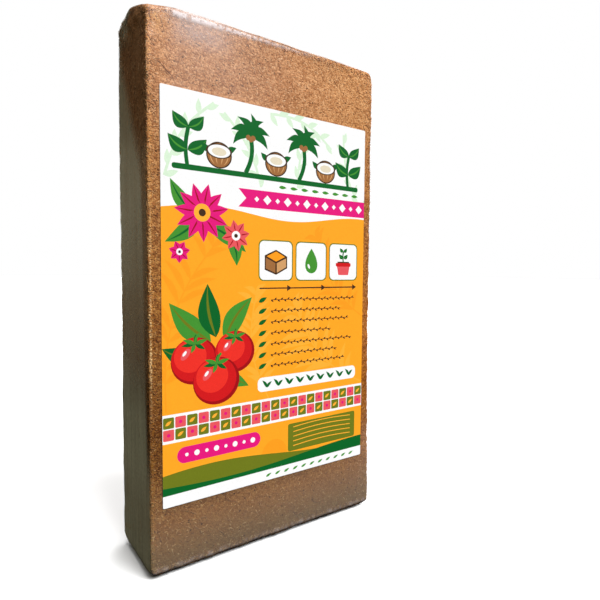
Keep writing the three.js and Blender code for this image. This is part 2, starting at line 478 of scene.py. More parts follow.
def broad_wear(points, edge):
    """How deep the worn edges and shallow dents lie under the smooth form, where film can follow."""
    x, y, z = points.T
    chips = CHIP_DEPTH * edge * np.clip(0.35 + 0.9 * noise(points, CHIP_SIZE, 3), 0, 1)
    dents = DENT_DEPTH * np.clip(0.5 + noise(points, DENT_SIZE, 5), 0, 1)
    corner = smoothstep(-x, 62, 74) * smoothstep(z, 282, 296) * smoothstep(y, -22, -8)
    swollen = np.clip(0.15 + noise(points, SWELL_SIZE, 61), 0, 1) * corner
    return (chips + dents) * free_of_label(points) - SWELL * swollen


def coir_surface(points):
    """Points of the coir's plain box brought to its worn surface, and the room there to the film."""
    smooth, _ = formed(points, COIR_INSET)
    way, edge = inward(smooth, COIR_INSET)
    lumps = (0.05 + 0.13 * edge) * (1 + noise(smooth, LUMP_SIZE, 7))
    crumbs = (0.04 + 0.13 * edge) * (1 + noise(smooth, CRUMB_SIZE, 9))
    broad = broad_wear(smooth, edge)
    depth = broad + (lumps + crumbs) * free_of_label(smooth)
    room = depth + FILM_LIFT - FILM_FOLLOW * broad
    return smooth + way * depth[:, None], room


def normals(points, axis):
    """The way straight out of the bale's smooth form at points of its box's faces across an axis."""
    rows = np.arange(len(points))
    spans = []
    for turn in (1, 2):
        beside = np.zeros((len(points), 3))
        beside[rows, (axis + turn) % 3] = 0.4
        ends = [formed(np.clip(points + step, MIDDLE - COIR_HALF, MIDDLE + COIR_HALF), COIR_INSET)[0]
                for step in (beside, -beside)]
        spans.append(ends[0] - ends[1])
    return unit(np.cross(*spans) * np.sign((points - MIDDLE)[rows, axis])[:, None])


def seated(points, axis):
    """Points of the plain box brought to the worn surface, the room there, and the way out."""
    surface, room = coir_surface(points)
    return surface, room, normals(points, axis)


def box_points(rng, count, ends_share, edge_share):
    """Random points on the coir's plain box, and the axis that the face of each lies across.

    A share of them is on its ends and sides, not on the front and back, and a share close to an edge.
    """
    points = rng.uniform(-1, 1, (count, 3)) * COIR_HALF
    narrow = rng.random(count) < ends_share
    on_end = rng.random(count) < COIR_HALF[0] / (COIR_HALF[0] + COIR_HALF[2])
    axis = np.where(narrow, np.where(on_end, 2, 0), 1)
    rows = np.arange(count)
    points[rows, axis] = rng.choice([-1.0, 1.0], count) * COIR_HALF[axis]
    near = rng.random(count) < edge_share
    other = np.where(axis == 1, rng.choice([0, 2], count), 1)
    inset = np.abs(rng.normal(0, 2.2, count))
    beside = rng.choice([-1.0, 1.0], count) * (COIR_HALF[other] - inset)
    points[rows[near], other[near]] = beside[near]
    return points + MIDDLE, axis


def open_points(rng, count, ends_share, edge_share):
    """Random points of that kind, none of them under the label."""
    points, axis = box_points(rng, 2 * count, ends_share, edge_share)
    low, high = LABEL_SPAN
    flat = points[:, [0, 2]]
    under = np.all((flat > low + 2) & (flat < high - 2), axis=1) & (points[:, 1] < 2 - DEPTH / 2)
    seen = np.flatnonzero(~under)[:count]
    return points[seen], axis[seen]


def reach_to_edge(points, axis, heading):
    """How far a fleck may reach each way from its middle before it sticks out past an edge."""
    margin = COIR_HALF - abs(points - MIDDLE)
    margin[np.arange(len(points)), axis] = WIDTH
    return ((margin + 0.3) / np.maximum(abs(heading), 0.02)).min(axis=1)


def coir_block(material):
    points, faces = box_grid(box_lines(COIR_INSET, 1.3))
    points, _ = coir_surface(points)
    return make_piece("coir_block_surface", in_frame(points), faces, [material], "coir_block")


OCTAHEDRON = np.array([(1, 0, 0), (-1, 0, 0), (0, 1, 0), (0, -1, 0), (0, 0, 1), (0, 0, -1)], float)
OCTAHEDRON_FACES = np.array([(0, 2, 4), (2, 1, 4), (1, 3, 4), (3, 0, 4),
                             (2, 0, 5), (1, 2, 5), (3, 1, 5), (0, 3, 5)])

# The loose bits on the coir: how many, and the spans of their sizes. Those of a fleck are half its
# length, width and thickness.
GRAIN_COUNT, GRAIN_RADIUS = 23000, (0.24, 0.62)
FLECK_COUNT, FLECK_REACH, FLECK_WIDTH, FLECK_THICKNESS = 23500, (0.6, 1.3), (0.16, 0.38), (0.08, 0.16)
FIBRE_COUNT, FIBRE_LENGTH, FIBRE_RADIUS, FIBRE_BEND, FIBRE_POINTS = 2300, (4, 13), (0.08, 0.17), 2.6, 12


def strewn(name, centres, axes, materials, shares, rng):
    """Many small eight-sided crumbs in one piece. axes holds each crumb's three half axes as rows."""
    count = len(centres)
    uneven = rng.uniform(0.75, 1.2, (count, 6, 1))
    corners = (OCTAHEDRON * uneven) @ axes + centres[:, None]
    flipped = np.linalg.det(axes) < 0
    faces = np.where(flipped[:, None, None], OCTAHEDRON_FACES[:, ::-1], OCTAHEDRON_FACES)
    faces = faces + 6 * np.arange(count)[:, None, None]
    kinds = np.repeat(rng.choice(len(materials), count, p=shares), 8)
    points = in_frame(corners.reshape(-1, 3))
    return make_piece(name, points, faces.reshape(-1, 3), materials, inks=kinds, smooth=False)


def coir_grains(materials):
    """Round crumbs of pith, half sunk in the surface."""
    rng, count = np.random.default_rng(21), GRAIN_COUNT
    points, axis = open_points(rng, count, 0.42, 0.26)
    centres, room, out = seated(points, axis)
    radius = rng.uniform(*GRAIN_RADIUS, count)
    rise = np.minimum(room - radius * 1.1, radius * 0.15)
    turns = np.linalg.qr(rng.normal(size=(count, 3, 3)))[0]
    axes = turns * (radius[:, None] * rng.uniform(0.7, 1.1, (count, 3)))[:, :, None]
    centres = centres + out * rise[:, None]
    strewn("coir_grains", centres, axes, materials, (0.56, 0.25, 0.16, 0.03), rng)


def coir_flecks(materials):
    """Straight slivers of husk, one to five millimetres long, lying on the surface."""
    rng, count = np.random.default_rng(27), FLECK_COUNT
    points, axis = open_points(rng, count, 0.42, 0.22)
    centres, room, out = seated(points, axis)
    length = rng.uniform(*FLECK_REACH, count) * rng.choice([1.0, 1.8], count, p=(0.75, 0.25))
    heading = rng.normal(size=(count, 3))
    heading -= out * np.sum(heading * out, axis=1, keepdims=True)
    heading += out * rng.normal(0, 0.05, (count, 1)) * np.linalg.norm(heading, axis=1, keepdims=True)
    heading = unit(heading)
    length = np.minimum(length, reach_to_edge(points, axis, heading))
    side = unit(np.cross(out, heading))
    top = np.cross(heading, side)
    width, thick = rng.uniform(*FLECK_WIDTH, count), rng.uniform(*FLECK_THICKNESS, count)
    axes = np.stack([heading * length[:, None], side * width[:, None], top * thick[:, None]], axis=1)
    rise = np.minimum(room - thick - 0.06 * length, 0.05)
    centres = centres + out * rise[:, None]
    strewn("coir_flecks", centres, axes, materials, (0.28, 0.48, 0.21, 0.03), rng)


def tubes(paths, out, radius):
    """Three-sided closed tubes along many paths of equal point counts."""
    count, length, _ = paths.shape
    along = unit(np.gradient(paths, axis=1))
    side = unit(np.cross(along, out))
    top = np.cross(side, along)
    taper = np.sin(np.linspace(0.25, math.pi - 0.25, length)) ** 0.35
    reach = radius[:, None, None] * taper[None, :, None]
    rings = [paths + reach * (math.cos(angle) * top + math.sin(angle) * side)
             for angle in (0, 2 * math.pi / 3, 4 * math.pi / 3)]
    points = np.stack(rings, axis=2).reshape(-1, 3)
    last = (length - 1) * 3
    one = [(0, 2, 1), (last, last + 1, last + 2)]
    for a in range(last):
        b = a - 2 if a % 3 == 2 else a + 1
        one += [(a, b, b + 3), (a, b + 3, a + 3)]
    faces = np.array(one) + 3 * length * np.arange(count)[:, None, None]
    return points, faces.reshape(-1, 3)


def fibre_paths(rng, count):
    """Curly strands lying on the coir, as paths in the bale's coordinates, and the way out there."""
    place, axis = open_points(rng, count, 0.90, 0.5)
    rows = np.arange(count)
    across, up = np.zeros((count, 3)), np.zeros((count, 3))
    across[rows, np.where(axis == 0, 1, 0)] = 1
    up[rows, np.where(axis == 2, 1, 2)] = 1
    run = rng.uniform(*FIBRE_LENGTH, count) / (FIBRE_POINTS - 1)
    heading = rng.uniform(0, 2 * math.pi, count)
    curl = rng.normal(0, FIBRE_BEND, count) / (FIBRE_POINTS - 1)
    path = [place]
    for _ in range(FIBRE_POINTS - 1):
        heading = heading + curl + rng.normal(0, 0.18, count)
        move = np.cos(heading)[:, None] * across + np.sin(heading)[:, None] * up
        place = np.clip(place + run[:, None] * move, MIDDLE - COIR_HALF, MIDDLE + COIR_HALF)
        path.append(place)
    flat = np.stack(path, axis=1).reshape(-1, 3)
    surface, room, out = seated(flat, np.repeat(axis, FIBRE_POINTS))
    arch = np.tile(np.sin(np.linspace(0, math.pi, FIBRE_POINTS)), count)
    lift = 0.12 + 0.35 * arch * np.repeat(rng.random(count), FIBRE_POINTS)
    raised = surface + out * np.minimum(lift, room * 0.7)[:, None]
    return [part.reshape(count, FIBRE_POINTS, 3) for part in (raised, out)]


def coir_fibres(materials):
    """Long curly fibres lying on the coir, most of them on the ends and along the edges."""
    rng, count = np.random.default_rng(33), FIBRE_COUNT
    paths, out = fibre_paths(rng, count)
    points, faces = tubes(paths, out, rng.uniform(*FIBRE_RADIUS, count))
    kinds = np.repeat(rng.choice(len(materials), count, p=(0.7, 0.3)), len(faces) // count)
    make_piece("coir_fibres", in_frame(points), faces, materials, inks=kinds)


# Shrink film

VENT_PLACE, VENT_RADIUS = (38.0, 205.0), 2.0
KNOTS, KNOT_HEIGHT, KNOT_REACH = (-62.0, 70.0), 1.2, 3.6
BEAD_HALF, SEAM_FADE, PLEAT_HEIGHT, PLEAT_REACH, STREAK_HEIGHT = 0.55, 9, 0.38, 6, 0.10


def film_relief(plain, facing):
    """How far the film's seam, gathers and wrinkles stand out from its smooth form."""
    x, y, z = plain.T
    on_top, on_right, on_left = (np.clip(part, 0, 1) for part in
                                 (facing[:, 2], facing[:, 0], -facing[:, 0]))
    run = np.stack([x + z, 0 * y, 0 * y], axis=1)
    wander = 0.35 * noise(run, 17, 41)
    off = abs(y - wander)
    bead = np.exp(-(off / BEAD_HALF) ** 2) * (0.75 + 0.3 * noise(run, 2.2, 43))
    ends = smoothstep(x, -WIDTH / 2, SEAM_FADE - WIDTH / 2) * smoothstep(z, 0, SEAM_FADE)
    pleats = np.clip(noise(np.stack([(x + z) / 2.1, y / 14, 0 * y], axis=1), 1, 47), 0, 1)
    pleats *= PLEAT_HEIGHT * np.exp(-off / PLEAT_REACH)
    relief = (bead + pleats) * np.maximum(on_top, on_right) * ends
    for place in KNOTS:
        dx = x - place
        distance, angle = np.hypot(dx, y), np.arctan2(y, dx)
        folds = 0.6 + 0.4 * np.cos(9 * angle + 2.5 * noise(plain, 3, 53))
        relief += KNOT_HEIGHT * on_top * np.exp(-(distance / KNOT_REACH) ** 2) * folds
    streaks = noise(np.stack([(x + y) / 5, 0 * y, z / 70], axis=1), 1, 59)
    return relief + STREAK_HEIGHT * streaks * np.maximum(on_left, on_right)


def shrink_film(material):
    """The film's outside, with closer grid lines along the seam."""
    x, y, z = box_lines(COIR_INSET, 1.6)
    y = np.sort(np.concatenate([y[abs(y) > 2.1], np.arange(-1.8, 1.81, 0.3)]))
    plain, faces = box_grid([x, y, z])
    smooth, facing = formed(plain, COIR_INSET)
    way, edge = inward(smooth, COIR_INSET)
    lift = FILM_LIFT - FILM_FOLLOW * broad_wear(smooth, edge)
    points = smooth - way * lift[:, None] + facing * film_relief(plain, facing)[:, None]
    points[:, 2] -= (COIR_INSET - FILM_LIFT) * smoothstep(plain[:, 2], 3, COIR_INSET)
    points[:, 2] = np.maximum(points[:, 2], 0)
    points, faces = punched(points, faces)
    return make_piece("shrink_film_skin", in_frame(points), faces, [material], "shrink_film")


def punched(points, faces):
    """Cuts the round vent through the back of the film."""
    back = points[:, 1] > DEPTH / 2 - 2
    offset = points[:, [0, 2]] - VENT_PLACE
    distance = np.where(back, np.linalg.norm(offset, axis=1), WIDTH)
    gone = distance[faces].mean(axis=1) < VENT_RADIUS * 1.15
    rim = np.intersect1d(faces[gone], faces[~gone])
    points[rim[:, None], [0, 2]] = VENT_PLACE + offset[rim] / distance[rim, None] * VENT_RADIUS
    kept = faces[~gone]
    used, index = np.unique(kept, return_inverse=True)
    return points[used], index.reshape(kept.shape)


# How white the film is: all over, low down, in the painted sheen of the upper left with its clouds, in
# the painted gleam along the foot, in the painted glare's band with its folds, patch and glint, round the
# vent, and at the seam, its pleats and its knots, each with the folds in it.
THIN_HAZE, LOW_HAZE, UPPER_SHEEN, CLOUDS, FOOT_GLEAM = 0.008, 0.034, 0.068, 0.022, 0.12
BAND, BAND_FOLDS, PATCH, PATCH_FOLDS, SIDE_GLINT, VENT_RIM = 0.10, 0.50, 0.15, 0.06, 0.35, 0.35
SEAM, SEAM_FOLDS, PLEATS, KNOT, KNOT_FOLDS = 0.14, 0.26, 0.15, 0.06, 0.55

# How strongly the film veils the coir in a slanting view, at shares of the height: partly its haze,
# partly a painted sheen whose strength by height paints the side lighter or darker.
VEIL_SHEEN_SHARES = [(0.03, 0.57), (0.12, 0.62), (0.20, 0.82), (0.28, 0.80), (0.35, 0.41), (0.39, 0.14),
               (0.45, 0.10), (0.50, 0.16), (0.55, 0.32), (0.61, 0.43), (0.68, 0.53)]
# The film's white on the front, and an olive white on the left side that tints the painted sheen there.
FRONT_TINT, SIDE_TINT = (0.97, 0.88, 0.88), (0.95, 0.93, 0.66)


def seam_haze(shade, place):
    """White where the film is doubled: the seam, the pleats beside it, and the knots at its ends."""
    across, depth, height = shade.parts(place)
    sway = shade.noise(shade.stretched(place, (1, 0, 1)), 19)
    off = abs(depth + sway * 2.4 - 1.2)
    thin = shade.noise(place, 4.5, 3, 0.7)
    pleat = shade.noise(shade.stretched(place, (1, 0.10, 1)), 1.8, 2, 0.6)
    seam = off.step(0.9 + thin * 0.9, 0.3) * (SEAM + thin.step(0.35, 0.7) * SEAM_FOLDS)
    pleats = pleat.step(0.52, 0.66) * off.step(12, 1) * PLEATS
    haze = (seam + pleats) * height.step(4, 12)
    crumple = shade.noise(place, 1.2, 2, 0.8, 1.5).step(0.40, 0.62)
    for middle in KNOTS:
        beside = across - middle
        haze = haze + (beside * beside + off * off).step(60, 4) * (KNOT + crumple * KNOT_FOLDS)
    return haze * height.step(299.0, 302.0).most(across.step(76.2, 77.0))


def front_haze_and_sheen(shade, place, gather):
    """Painted sheen over the front's upper left, a thin haze low down, and painted gleams along the foot.
    """
    across, depth, height = shade.parts(place)
    cloud = shade.noise(place, 24, 3, 0.6)
    upper_sheen = height.step(225, 275) * across.step(24, -42) * (0.25 + across.step(-73, -60) * 0.75)
    foot = height.step(7.5, 5.0) * depth.step(-21, -23) * gather.step(0.4, 0.7)
    upper_sheen = upper_sheen * (UPPER_SHEEN + cloud.step(0.35, 0.7) * CLOUDS)
    return upper_sheen + height.step(62, 18) * LOW_HAZE + foot * FOOT_GLEAM


def painted_glare(shade, place, gather, fine):
    """Painted glare as white in the film: a band under the front's top edge, where the film is pulled
    tight from the left, a patch below it on the left, and a glint high on the left side.
    """
    across, depth, height = shade.parts(place)
    level = height - across * 0.02 - gather * 5 - fine * 2.4
    band = level.step(292.2, 295.0) * height.step(298.8, 298.3) * across.step(50, -8)
    band = band * (BAND + gather.step(0.36, 0.56) * BAND_FOLDS)
    patch = height.step(279, 291) * across.step(-22, -46) * across.step(-71, -53)
    patch = patch * (PATCH + fine * PATCH_FOLDS)
    shine = across.step(-75.0, -77.0) * depth.step(-2, 6) * height.step(284, 296) * fine.step(0.40, 0.55)
    return (band + patch) * depth.step(-22.6, -23.4) * across.step(-69, -62) + shine * SIDE_GLINT


def veil_and_sheen(shade, place, facing, streak):
    """The film's veil in a slanting view: partly its haze, partly a painted sheen, lighter or darker by
    height. It leaves a clear wedge beside the front's upper part.
    """
    _, depth, height = shade.parts(place)
    shares = shade.ramp(height / HEIGHT, [(share, (value,) * 3) for share, value in VEIL_SHEEN_SHARES])
    veil = facing.least(0.74) ** 3 * shade.red(shares) * 2
    veil = veil * (height - depth * 1.9).step(258, 232) * (0.7 + streak * 0.6)
    veil = veil * (depth - height * 0.0375).step(-25.5, -20.0).most(height.step(80, 40))
    return veil * (0.55 + depth.step(-24.7, -23.6) * 0.45)


def vent_rim(shade, place):
    """The milky rim of the vent."""
    across, depth, height = shade.parts(place)
    aside, above = across - float(PLACE[0]) - VENT_PLACE[0], height - VENT_PLACE[1]
    return (aside * aside + above * above).step(13, 5) * depth.step(20, 22) * VENT_RIM


def film_material():
    """Clear film: a sheen that grows towards grazing views, over a thin white haze."""
    shade = Shade("clear_shrink_film")
    place = shade.place()
    across, depth, height = shade.parts(place)
    fine = shade.noise(place, 1.8, 2, 0.6)
    gather = shade.noise(shade.stretched(place, (1, 0.3, 0.6)), 3.2, 3, 0.7)
    streak = shade.noise(shade.stretched(place, (1, 1, 0.05)), 3.0)
    facing = shade.node("ShaderNodeLayerWeight", {}, {"Blend": 0.5}).of("Facing")
    narrow = across.step(-76.8, -77.6)
    # The haze carries the painted sheen, gleams and glare of the front and the side.
    haze = THIN_HAZE + narrow * THIN_HAZE + front_haze_and_sheen(shade, place, gather)
    haze = haze + painted_glare(shade, place, gather, fine) + veil_and_sheen(shade, place, facing, streak)
    haze = haze + seam_haze(shade, place) + vent_rim(shade, place)
    # Haze and sheen fade out at the foot, where the coir's painted contact shadow shows.
    haze = haze * (0.75 + fine * 0.5) * height.step(3.2, 4.4)
    upward = shade.parts(shade.node("ShaderNodeNewGeometry").of("Normal"))[2]
    rim = upward.step(0.05, 0.35) * depth.step(-14, -20)
    sheen = (facing ** 5 * 0.90 + 0.02) * (1 - rim * 0.92) * (0.05 + height.step(2.6, 4.2) * 0.95)
    cover = (haze + sheen).least(1.0)
    look = {"Base Color": shade.mix(narrow, FRONT_TINT, SIDE_TINT), "Metallic": sheen / cover,
            "Roughness": 0.24, "Normal": shade.bump(fine * 0.4 + streak, 0.35, 0.5)}
    clear = shade.node("ShaderNodeBsdfTransparent")
    skin = shade.node("ShaderNodeBsdfPrincipled", {}, look)
    return shade.finish(shade.node("ShaderNodeMixShader", {}, {0: cover, 1: clear, 2: skin}))


# Label print, in millimetres from the label's lower left corner

LABEL_WIDTH = (label_high.x - label_low.x) / MM
LABEL_HEIGHT = (label_high.z - label_low.z) / MM
PRINT_THICKNESS, PRINT_GAP = 0.08, 0.04     # how thick the print is, and how far it is off the film
HEADER, FOOTER = 160.0, 6.5                 # where the white header starts, and the footer's height

INKS = {
    "paper_white": (0.90, 0.90, 0.90),
    "pale_green": (0.66, 0.83, 0.63),
    "cream": (0.74, 0.66, 0.50),
    "amber": (0.97, 0.365, 0.018),
    "pale_amber": (0.98, 0.415, 0.036),
    "deep_amber": (0.93, 0.322, 0.014),
    "leaf_green": (0.055, 0.27, 0.030),
    "dark_green": (0.003, 0.120, 0.020),
    "olive": (0.150, 0.180, 0.012),
    "coral": (0.76, 0.092, 0.105),
    "magenta": (0.74, 0.010, 0.190),
    "bright_red": (0.80, 0.030, 0.020),
    "red": (0.60, 0.010, 0.012),
    "deep_red": (0.33, 0.005, 0.008),
    "husk_tan": (0.60, 0.32, 0.13),
    "husk_brown": (0.33, 0.14, 0.045),
    "bark": (0.055, 0.026, 0.012),
}


def ring(centre, radius, count=28, wide=1.0, turn=0.0):
    """A circle, or an ellipse whose first half axis is wide times the other, turned."""
    angles = np.linspace(0, 2 * math.pi, count, endpoint=False)
    x, y = radius * wide * np.cos(angles), radius * np.sin(angles)
    c, s = math.cos(turn), math.sin(turn)
    return np.stack([centre[0] + c * x - s * y, centre[1] + s * x + c * y], axis=1)


def rounded(left, low, right, high, radius, count=6):
    """A box with round corners."""
    points = []
    corners = [(right, high), (left, high), (left, low), (right, low)]
    for quarter, (x, y) in enumerate(corners):
        cx = x - math.copysign(radius, x - (left + right) / 2)
        cy = y - math.copysign(radius, y - (low + high) / 2)
        angles = (quarter + np.linspace(0, 1, count)) * math.pi / 2
        points += [(cx + radius * math.cos(a), cy + radius * math.sin(a)) for a in angles]
    return np.array(points)


def directions(start, end):
    """The unit vectors from start towards end, and to the left of that."""
    ahead = np.subtract(end, start) / math.dist(start, end)
    return ahead, np.array([-ahead[1], ahead[0]])


def arc(start, end, rise, count=9):
    """Points on a bowed line from start to end."""
    share = np.linspace(0, 1, count)[:, None]
    _, left = directions(start, end)
    return start + np.subtract(end, start) * share + left * rise * np.sin(math.pi * share)


def leaf(base, tip, width, bend=0.0, count=12):
    """A pointed leaf from base to tip, bent to one side."""
    _, left = directions(base, tip)
    half = width / 2 * np.sin(math.pi * np.linspace(0, 1, count)[:, None] ** 0.8) * left
    spine = arc(base, tip, bend, count)
    return np.concatenate([spine + half, (spine - half)[-2:0:-1]])


def stroke(points, thickness):
    """A line of even thickness along a few points."""
    points = np.array(points, float)
    along = unit(np.gradient(points, axis=0))
    side = np.stack([-along[:, 1], along[:, 0]], axis=1) * thickness / 2
    return np.concatenate([points + side, (points - side)[::-1]])


def polar(centre, degrees, reach, tall=1.0):
    """A point in a direction from the centre, on a circle or on one squashed to a share tall."""
    angle = math.radians(degrees)
    return (centre[0] + reach * math.cos(angle), centre[1] + tall * reach * math.sin(angle))


class Print:
    """Flat shapes of ink. A later shape covers an earlier one."""

    def __init__(self):
        self.shapes = []

    def ink(self, name, outline):
        outline = np.asarray(outline, float)
        x, y = outline.T
        area = np.sum(x * np.roll(y, -1) - y * np.roll(x, -1))
        self.shapes.append((name, outline if area > 0 else outline[::-1]))

    def box(self, name, left, low, right, high, radius=0.5):
        self.ink(name, rounded(left, low, right, high, radius))

    def veined(self, base, tip, width, colour, vein, bend=0.0):
        """A leaf with its middle vein in another ink."""
        self.ink(colour, leaf(base, tip, width, bend))
        self.ink(vein, leaf(base, tip, width * 0.13, bend))

    def seedling(self, foot, height, lean=0.0):
        """A sprout with a bowed stem and two pairs of broad leaves."""
        x, y = foot
        head = (x + lean, y + 0.80 * height)
        self.ink("dark_green", stroke(arc(foot, head, 0.05 * height), 0.075 * height + 0.3))
        for share, spread, width in ((0.30, 0.42, 0.30), (0.76, 0.34, 0.26)):
            joint = (x + lean * share, y + height * share)
            for side in (-1, 1):
                tip = (joint[0] + side * spread * height, joint[1] + 0.27 * height)
                self.veined(joint, tip, width * height, "dark_green", "leaf_green",
                            -side * 0.06 * height)

    def palm(self, foot, height):
        """A palm with a leaning trunk and a crown of drooping leaves."""
        head = (foot[0] + 0.10 * height, foot[1] + 0.66 * height)
        self.ink("dark_green", stroke(arc(foot, head, -0.07 * height), 0.085 * height))
        for degrees in (-28, 8, 48, 90, 132, 172, 208):
            tip = polar(head, degrees, 0.40 * height)
            droop = 0.09 * height * (-1 if degrees < 90 else 1)
            self.ink("dark_green", leaf(head, tip, 0.15 * height, -droop))
        for degrees in (215, 270, 325):
            self.ink("husk_brown", ring(polar(head, degrees, 0.06 * height), 0.05 * height, 14))

    def nut(self, centre, radius):
        """Half a coconut standing as a bowl: shell with fibres, white flesh and a shaded hollow."""
        x, y = centre
        for degrees in (18, 162):
            base, tip = polar(centre, degrees, 0.7 * radius), polar(centre, degrees, 1.55 * radius)
            self.ink("dark_green", leaf(base, (tip[0], tip[1] + 2), 0.5 * radius, 0.6))
        self.ink("bark", ring(centre, radius, 32, 1.08))
        self.ink("husk_brown", ring(centre, radius * 0.90, 32, 1.08))
        for share in (-0.55, -0.2, 0.2, 0.55):
            ends = ((x + 1.4 * share * radius, y), (x + 0.7 * share * radius, y - 0.72 * radius))
            self.ink("husk_tan", leaf(*ends, 0.09 * radius, share, 7))
        for drop, scale, colour in ((0.30, 0.56, "bark"), (0.30, 0.48, "paper_white"),
                                    (0.26, 0.31, "cream")):
            self.ink(colour, ring((x, y + drop * radius), radius * scale, 30, 1.95))

    def blossom(self, centre, radius, petals, colour, heart):
        for i in range(petals):
            tip = polar(centre, 11 + 360 * i / petals, radius)
            self.veined(centre, tip, 1.5 * math.pi * radius / petals, colour, "deep_red")
        self.ink(heart, ring(centre, radius * 0.30))
        self.ink("bark", ring(centre, radius * 0.13, 14))

    def fruit(self, centre, radius):
        """A round red fruit with a green star of sepals and a pale glint."""
        x, y = centre
        for step, scale, colour in ((0.0, 1.0, "deep_red"), (0.06, 0.92, "red"),
                                    (0.20, 0.68, "bright_red")):
            place = (x - step * radius, y + step * radius)
            self.ink(colour, ring(place, radius * scale, 34, 1.06))
        glint, spark = ((x - left * radius, y + up * radius) for left, up in ((0.42, 0.30), (0.46, 0.34)))
        self.ink("coral", ring(glint, radius * 0.15, 16, 1.9, 0.9))
        self.ink("paper_white", ring(spark, radius * 0.06, 12, 2.2, 0.9))
        top = (x, y + 0.72 * radius)
        for i in range(6):
            tip = polar(top, -170 + 64 * i, 0.62 * radius, 0.40 / 0.62)
            self.ink("leaf_green" if i % 2 else "dark_green", leaf(top, tip, 0.18 * radius, 0, 8))
        stalk = arc(top, (top[0] + 0.2 * radius, top[1] + 0.42 * radius), 0.06 * radius, 5)
        self.ink("leaf_green", stroke(stalk, 0.11 * radius))

    def frond(self, base, tip, width, colour, pairs=9):
        """A palm frond: a spine with narrow leaflets on both sides."""
        spine = arc(base, tip, 0.12 * math.dist(base, tip), 15)
        self.ink(colour, stroke(spine, 0.9))
        ahead, left = directions(base, tip)
        for i in range(pairs):
            at = spine[2 + round(i * (len(spine) - 4) / (pairs - 1))]
            reach = width * math.sin(math.pi * (0.22 + 0.7 * i / pairs))
            for side in (-1, 1):
                end = at + reach * (0.62 * ahead + 0.78 * side * left)
                self.ink(colour, leaf(at, end, width * 0.16, -side * width * 0.08, 8))

    def vine(self, start, end, colour, gap, size, rise=0.0):
        """A thin stem with small leaves to both sides."""
        stem = arc(start, end, rise, max(3, round(math.dist(start, end) / gap)))
        self.ink(colour, stroke(stem, 0.28 * size))
        ahead, left = directions(start, end)
        for i, joint in enumerate(stem[:-1]):
            tip = joint + size * (1.25 * ahead + (0.85 if i % 2 else -0.85) * left)
            self.ink(colour, leaf(joint, tip, 0.62 * size, 0, 7))


def waved(level, rise, waves, start=0.0, count=40):
    """A waved line over the label's whole width."""
    across = np.linspace(0, LABEL_WIDTH, count)
    return np.stack([across, level + rise * np.sin(start + across / LABEL_WIDTH * waves)], axis=1)


def draw_header(sheet):
    """Palms, seedlings and halved coconuts in a row on a bar, over a waved edge."""
    top = [(LABEL_WIDTH, LABEL_HEIGHT), (0, LABEL_HEIGHT)]
    sheet.ink("paper_white", np.concatenate([waved(HEADER, 2.6, 8.2), top]))
    for start, end, rise in (((2, 176), (30, 218), 5), ((66, 219), (112, 205), 6),
                             ((139, 168), (122, 216), 5), ((60, 176), (36, 214), -4),
                             ((86, 178), (98, 214), 4)):
        sheet.vine(start, end, "pale_green", 5.0, 5.4, rise)
    ground = LABEL_HEIGHT - 39.0
    for i in range(7):
        foot = (14.5 + 18.6 * i, ground)
        if i % 2:
            sheet.nut((foot[0], ground + 7.6), 7.2)
        elif i in (2, 4):
            sheet.palm((foot[0] - 2, ground), 32.0)
        else:
            sheet.seedling(foot, 26.0, 1.0)
    sheet.box("dark_green", 6, ground - 2.6, LABEL_WIDTH - 6, ground + 0.4, 1.3)
    for i in range(8):
        x, y = LABEL_WIDTH - 66 + 8.2 * i, ground - 5.6
        sheet.ink("leaf_green", leaf((x - 2.8, y), (x + 2.8, y), 2.0))


def draw_ribbon(sheet):
    """A magenta ribbon from the right edge, with a row of pale diamonds."""
    low, high = HEADER + 3.6, HEADER + 14.0
    middle, left = (low + high) / 2, 45.0
    tail = [(LABEL_WIDTH, low), (LABEL_WIDTH, high), (left, high), (left + 5, middle), (left, low)]
    sheet.ink("magenta", tail)
    for i in range(12):
        x, size = left + 12 + 7.2 * i, (2.8 if i % 2 else 1.6)
        diamond = np.multiply([(-1, 0), (0, -1), (1, 0), (0, 1)], size)
        sheet.ink("paper_white", diamond + (x, middle))


def draw_flowers(sheet):
    """Magenta and coral blossoms with leaves, where the header meets the amber."""
    for base, tip, width in (((22, 156), (2, 142), 9), ((27, 152), (50, 138), 10),
                             ((18, 158), (5, 175), 8), ((40, 146), (44, 130), 8)):
        sheet.veined(base, tip, width, "leaf_green", "dark_green", 1.5)
    sheet.blossom((23.0, 158.5), 16.0, 11, "magenta", "pale_amber")
    sheet.blossom((43.5, 147.0), 9.0, 8, "coral", "paper_white")
    sheet.blossom((10.0, 137.0), 6.0, 7, "magenta", "paper_white")


def draw_fruit(sheet):
    """Three red fruits and their leaves, low on the left of the amber."""
    for base, tip, width, colour in (
        ((28, 88), (4, 110), 13, "leaf_green"), ((31, 90), (26, 120), 13, "dark_green"),
        ((36, 88), (54, 112), 12, "leaf_green"), ((20, 80), (0, 86), 10, "dark_green"),
        ((30, 66), (52, 60), 9, "leaf_green"),
    ):
        sheet.veined(base, tip, width, colour, "olive", 2.0)
    sheet.fruit((18.5, 78.0), 13.0)
    sheet.fruit((43.0, 81.0), 12.0)
    sheet.fruit((31.5, 65.5), 13.5)


